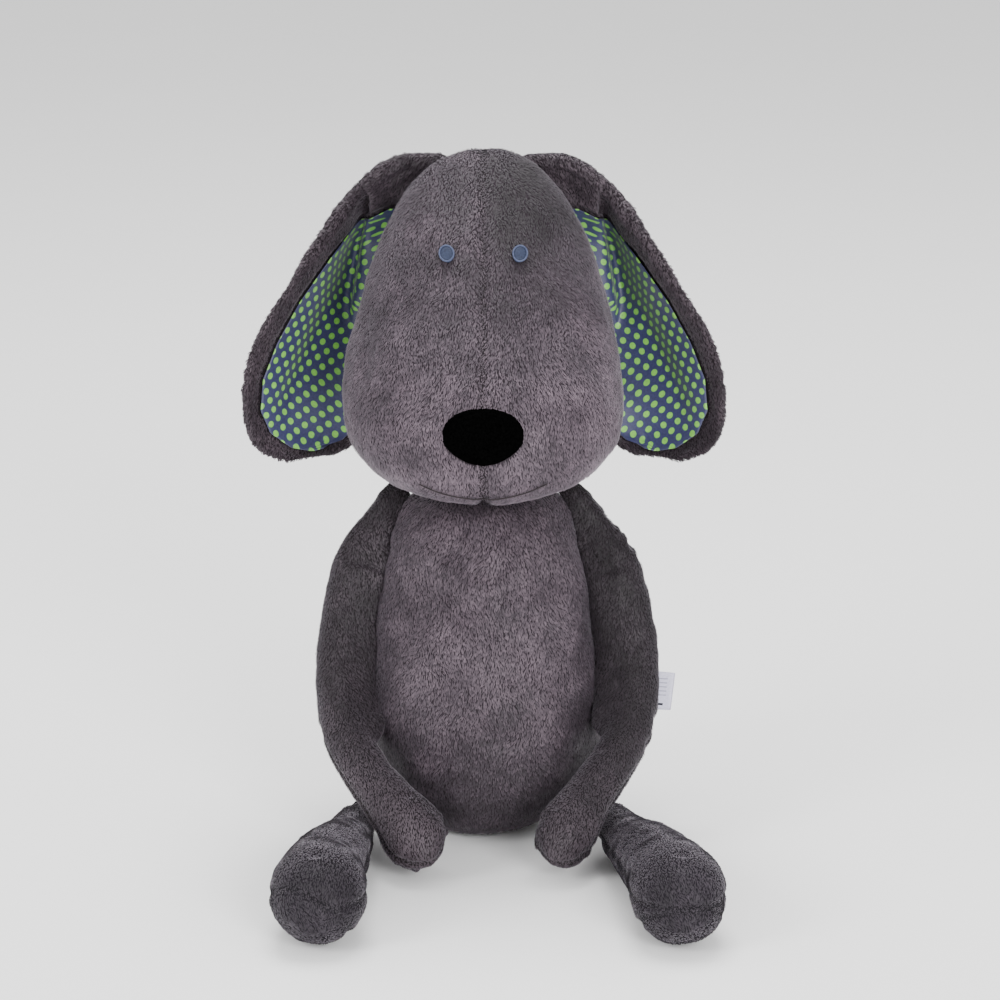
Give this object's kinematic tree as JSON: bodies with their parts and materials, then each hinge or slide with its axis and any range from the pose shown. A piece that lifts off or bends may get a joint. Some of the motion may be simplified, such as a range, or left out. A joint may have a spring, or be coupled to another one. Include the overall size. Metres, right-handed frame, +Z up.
{
  "type": "plush toy dog",
  "caption": "Sitting plush dog with a pear-shaped head, long lined floppy ears, slim stuffed arms and legs, and a weighted seat.",
  "frame": {"origin": "bottom centre of the whole toy's box, at the height of the seat and the feet", "axes": "+Z up, the dog faces -Y, and its own left is +X"},
  "size_m": [0.239, 0.2691, 0.348],
  "materials": {
    "plush": "short brushed pile, matte",
    "lining": "smooth printed satin, slate blue with lime dots",
    "nose_felt": "black felt, matte",
    "thread": "satin-stitch embroidery",
    "mouth_thread": "sewing thread",
    "filling": "loose white polyester fibre",
    "pouch_cloth": "plain woven cotton",
    "pellets": "small plastic beads",
    "label_tape": "woven satin ribbon"
  },
  "bodies": {
    "torso": {"belly_panel": "plush", "back_left_panel": "plush", "back_right_panel": "plush", "seat_panel": "plush", "body_filling": "filling", "pellet_pouch": "pouch_cloth", "pellet_weights": "pellets", "shoulder_left_gather": "plush", "shoulder_right_gather": "plush"},
    "neck": {"neck_sleeve": "plush", "neck_filling": "filling"},
    "head": {"face_left_panel": "plush", "face_right_panel": "plush", "head_back_panel": "plush", "nose_patch": "nose_felt", "eye_left": "thread", "eye_right": "thread", "mouth_stitch": "mouth_thread", "head_filling": "filling"},
    "tail": {"tail_skin": "plush", "tail_filling": "filling"},
    "label": {"care_label": "label_tape"},
    "ear_left": {"ear_left_plush": "plush", "ear_left_lining": "lining"},
    "hip_left": {"hip_left_gather": "plush"},
    "arm_left": {"arm_left_front_panel": "plush", "arm_left_back_panel": "plush", "arm_left_filling": "filling"},
    "leg_left": {"leg_left_top_panel": "plush", "leg_left_bottom_panel": "plush", "leg_left_sole": "plush", "leg_left_filling": "filling"},
    "ear_right": {"ear_right_plush": "plush", "ear_right_lining": "lining"},
    "hip_right": {"hip_right_gather": "plush"},
    "arm_right": {"arm_right_front_panel": "plush", "arm_right_back_panel": "plush", "arm_right_filling": "filling"},
    "leg_right": {"leg_right_top_panel": "plush", "leg_right_bottom_panel": "plush", "leg_right_sole": "plush", "leg_right_filling": "filling"}
  },
  "joints": [
    {"name": "head_turn", "type": "hinge", "parent": "torso", "child": "neck", "pos_m": [0, 0.0511, 0.204], "axis": [0, 0, 1], "range_deg": [-30, 30], "stiffness_Nm_per_rad": 0.6},
    {"name": "head_nod", "type": "hinge", "parent": "neck", "child": "head", "pos_m": [0, 0.0511, 0.204], "axis": [1, 0, 0], "range_deg": [-8, 7], "stiffness_Nm_per_rad": 2},
    {"name": "tail_wag", "type": "hinge", "parent": "torso", "child": "tail", "pos_m": [0, 0.1061, 0.03], "axis": [0, 0, 1], "range_deg": [-25, 25], "stiffness_Nm_per_rad": 0.02},
    {"name": "label_flap", "type": "hinge", "parent": "torso", "child": "label", "pos_m": [0.062, 0.0551, 0.0705], "axis": [0, 0, 1], "range_deg": [0, 60], "stiffness_Nm_per_rad": 0.002},
    {"name": "ear_left_lift", "type": "hinge", "parent": "head", "child": "ear_left", "pos_m": [0.0205, 0.0771, 0.3365], "axis": [0, -1, 0], "range_deg": [0, 100]},
    {"name": "arm_left_swing", "type": "hinge", "parent": "torso", "child": "arm_left", "pos_m": [0.0435, 0.0511, 0.177], "axis": [-1, 0, 0], "range_deg": [0, 70]},
    {"name": "leg_left_splay", "type": "hinge", "parent": "torso", "child": "hip_left", "pos_m": [0.0595, 0.0436, 0.012], "axis": [0, 0, 1], "range_deg": [0, 25]},
    {"name": "leg_left_swing", "type": "hinge", "parent": "hip_left", "child": "leg_left", "pos_m": [0.0595, 0.0436, 0.012], "axis": [1, 0, 0], "range_deg": [0, 80]},
    {"name": "ear_right_lift", "type": "hinge", "parent": "head", "child": "ear_right", "pos_m": [-0.0205, 0.0771, 0.3365], "axis": [0, 1, 0], "range_deg": [0, 100]},
    {"name": "arm_right_swing", "type": "hinge", "parent": "torso", "child": "arm_right", "pos_m": [-0.0435, 0.0511, 0.177], "axis": [-1, 0, 0], "range_deg": [0, 70]},
    {"name": "leg_right_splay", "type": "hinge", "parent": "torso", "child": "hip_right", "pos_m": [-0.0595, 0.0436, 0.012], "axis": [0, 0, -1], "range_deg": [0, 25]},
    {"name": "leg_right_swing", "type": "hinge", "parent": "hip_right", "child": "leg_right", "pos_m": [-0.0595, 0.0436, 0.012], "axis": [1, 0, 0], "range_deg": [0, 80]}
  ]
}
